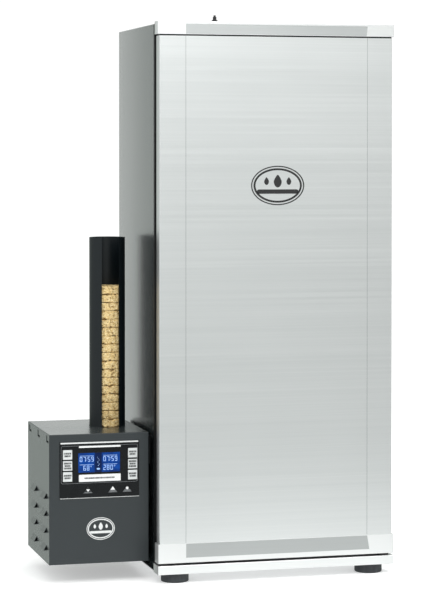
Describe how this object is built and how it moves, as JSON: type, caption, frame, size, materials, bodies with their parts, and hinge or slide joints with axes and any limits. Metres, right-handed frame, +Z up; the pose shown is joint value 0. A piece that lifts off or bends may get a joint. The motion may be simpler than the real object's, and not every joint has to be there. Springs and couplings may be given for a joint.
{
  "type": "electric cabinet smoker",
  "caption": "Insulated upright smoker cabinet with a hinged door, wire racks, a roof damper and a side smoke generator that feeds wood pucks from a tube.",
  "frame": {"origin": "on the floor, under the middle of the object's box", "axes": "+Z up, the door faces -Y, the smoke generator is on the -X side"},
  "size_m": [0.618, 0.332, 0.996],
  "materials": {
    "black_plastic": "fine texture",
    "board_green": "solder mask",
    "brass_gear": "machined",
    "bright_trim": "bright satin",
    "brushed_door": "brushed, fine horizontal grain",
    "cast_plate": "cast plate, heat stained",
    "display_blue": "lit liquid crystal",
    "element_alloy": "oxidised alloy sheath",
    "foot_rubber": "matt",
    "galvanised": "galvanised",
    "inset_grey": "matt satin",
    "key_black": "smooth",
    "key_white": "smooth",
    "mineral_wool": "mineral fibre",
    "motor_steel": "zinc plated",
    "panel_black": "smooth printed film",
    "powder_black": "satin powder coat",
    "powder_dark": "satin powder coat",
    "powder_grey": "satin powder coat",
    "powder_slate": "satin powder coat",
    "pressed_wood": "pressed chips",
    "rack_chrome": "bright chrome",
    "seal_rubber": "matt",
    "stainless": "satin stainless",
    "tube_black": "semi-gloss powder coat",
    "zinc_screws": "zinc plated"
  },
  "bodies": {
    "cabinet": {"side_wrap": "powder_dark", "back_panel": "powder_dark", "bottom_panel": "galvanised", "front_frame": "powder_black", "inner_liner": "stainless", "insulation": "mineral_wool", "base_trim": "bright_trim", "feet": "foot_rubber", "hinge_brackets": "powder_black", "vent_collar": "stainless", "rack_holders": "stainless", "heating_element": "element_alloy", "element_shield": "stainless", "temperature_probe": "stainless", "power_inlets": "black_plastic", "cover_screws": "zinc_screws", "generator_case": "powder_grey", "generator_front": "powder_slate", "generator_base": "powder_grey", "hanger_hooks": "powder_black", "control_panel": "panel_black", "display": "display_blue", "control_board": "board_green", "magazine_socket": "powder_black", "puck_stack": "pressed_wood", "feed_deck": "stainless", "feed_motor": "motor_steel", "burner": "cast_plate", "smoke_duct": "powder_black"},
    "door": {"hinge_bushes": "black_plastic", "door_skin": "brushed_door", "door_top_cap": "bright_trim", "door_bottom_cap": "bright_trim", "cap_insets": "inset_grey", "door_liner": "stainless", "door_insulation": "mineral_wool", "door_gasket": "seal_rubber"},
    "damper": {"damper_plate": "stainless", "damper_knob": "black_plastic"},
    "rack_1_body": {"rack_1": "rack_chrome"},
    "rack_2_body": {"rack_2": "rack_chrome"},
    "rack_3_body": {"rack_3": "rack_chrome"},
    "rack_4_body": {"rack_4": "rack_chrome"},
    "rack_5_body": {"rack_5": "rack_chrome"},
    "rack_6_body": {"rack_6": "rack_chrome"},
    "tray": {"drip_tray": "stainless"},
    "bowl": {"water_bowl": "stainless"},
    "magazine": {"magazine_tube": "tube_black"},
    "pusher_slide_body": {"pusher": "motor_steel", "feed_puck": "pressed_wood"},
    "pinion_body": {"drive_pinion": "brass_gear"},
    "button_left_1_key": {"button_left_1": "key_white"},
    "button_left_2_key": {"button_left_2": "key_white"},
    "button_left_3_key": {"button_left_3": "key_white"},
    "button_right_1_key": {"button_right_1": "key_white"},
    "button_right_2_key": {"button_right_2": "key_white"},
    "button_right_3_key": {"button_right_3": "key_white"},
    "button_down_key": {"button_down": "key_black"},
    "button_up_key": {"button_up": "key_black"},
    "button_power_key": {"button_power": "key_black"}
  },
  "joints": [
    {"name": "door_hinge", "type": "hinge", "parent": "cabinet", "child": "door", "pos_m": [0.294, -0.15, 0.5], "axis": [0, 0, 1], "range_deg": [0, 110]},
    {"name": "damper_turn", "type": "hinge", "parent": "cabinet", "child": "damper", "pos_m": [0.024, 0, 0.974], "axis": [0, 0, 1], "range_deg": [0, 60]},
    {"name": "rack_1_slide", "type": "slide", "parent": "cabinet", "child": "rack_1_body", "axis": [0, -1, 0], "range_m": [0, 0.022]},
    {"name": "rack_2_slide", "type": "slide", "parent": "cabinet", "child": "rack_2_body", "axis": [0, -1, 0], "range_m": [0, 0.022]},
    {"name": "rack_3_slide", "type": "slide", "parent": "cabinet", "child": "rack_3_body", "axis": [0, -1, 0], "range_m": [0, 0.022]},
    {"name": "rack_4_slide", "type": "slide", "parent": "cabinet", "child": "rack_4_body", "axis": [0, -1, 0], "range_m": [0, 0.022]},
    {"name": "rack_5_slide", "type": "slide", "parent": "cabinet", "child": "rack_5_body", "axis": [0, -1, 0], "range_m": [0, 0.022]},
    {"name": "rack_6_slide", "type": "slide", "parent": "cabinet", "child": "rack_6_body", "axis": [0, -1, 0], "range_m": [0, 0.022]},
    {"name": "tray_slide", "type": "slide", "parent": "cabinet", "child": "tray", "axis": [0, -1, 0], "range_m": [0, 0.022]},
    {"name": "bowl_lift", "type": "slide", "parent": "cabinet", "child": "bowl", "axis": [0, 0, 1], "range_m": [0, 0.06]},
    {"name": "magazine_lift", "type": "slide", "parent": "cabinet", "child": "magazine", "axis": [0, 0, 1], "range_m": [0, 0.3]},
    {"name": "pusher_slide", "type": "slide", "parent": "cabinet", "child": "pusher_slide_body", "axis": [1, 0, 0], "range_m": [0, 0.062]},
    {"name": "pinion_spin", "type": "hinge", "parent": "cabinet", "child": "pinion_body", "pos_m": [-0.2225, 0.02185, 0.205], "axis": [0, 0, 1], "range_deg": [0, 395]},
    {"name": "button_left_1_press", "type": "slide", "parent": "cabinet", "child": "button_left_1_key", "axis": [0, 1, 0], "range_m": [0, 0.0012], "stiffness_N_per_m": 400, "springref_m": -0.001},
    {"name": "button_left_2_press", "type": "slide", "parent": "cabinet", "child": "button_left_2_key", "axis": [0, 1, 0], "range_m": [0, 0.0012], "stiffness_N_per_m": 400, "springref_m": -0.001},
    {"name": "button_left_3_press", "type": "slide", "parent": "cabinet", "child": "button_left_3_key", "axis": [0, 1, 0], "range_m": [0, 0.0012], "stiffness_N_per_m": 400, "springref_m": -0.001},
    {"name": "button_right_1_press", "type": "slide", "parent": "cabinet", "child": "button_right_1_key", "axis": [0, 1, 0], "range_m": [0, 0.0012], "stiffness_N_per_m": 400, "springref_m": -0.001},
    {"name": "button_right_2_press", "type": "slide", "parent": "cabinet", "child": "button_right_2_key", "axis": [0, 1, 0], "range_m": [0, 0.0012], "stiffness_N_per_m": 400, "springref_m": -0.001},
    {"name": "button_right_3_press", "type": "slide", "parent": "cabinet", "child": "button_right_3_key", "axis": [0, 1, 0], "range_m": [0, 0.0012], "stiffness_N_per_m": 400, "springref_m": -0.001},
    {"name": "button_down_press", "type": "slide", "parent": "cabinet", "child": "button_down_key", "axis": [0, 1, 0], "range_m": [0, 0.0012], "stiffness_N_per_m": 400, "springref_m": -0.001},
    {"name": "button_up_press", "type": "slide", "parent": "cabinet", "child": "button_up_key", "axis": [0, 1, 0], "range_m": [0, 0.0012], "stiffness_N_per_m": 400, "springref_m": -0.001},
    {"name": "button_power_press", "type": "slide", "parent": "cabinet", "child": "button_power_key", "axis": [0, 1, 0], "range_m": [0, 0.0012], "stiffness_N_per_m": 400, "springref_m": -0.001}
  ],
  "couplings": [
    {"joint": "pinion_spin", "follows": "pusher_slide", "rad_per_m": 111.11}
  ]
}
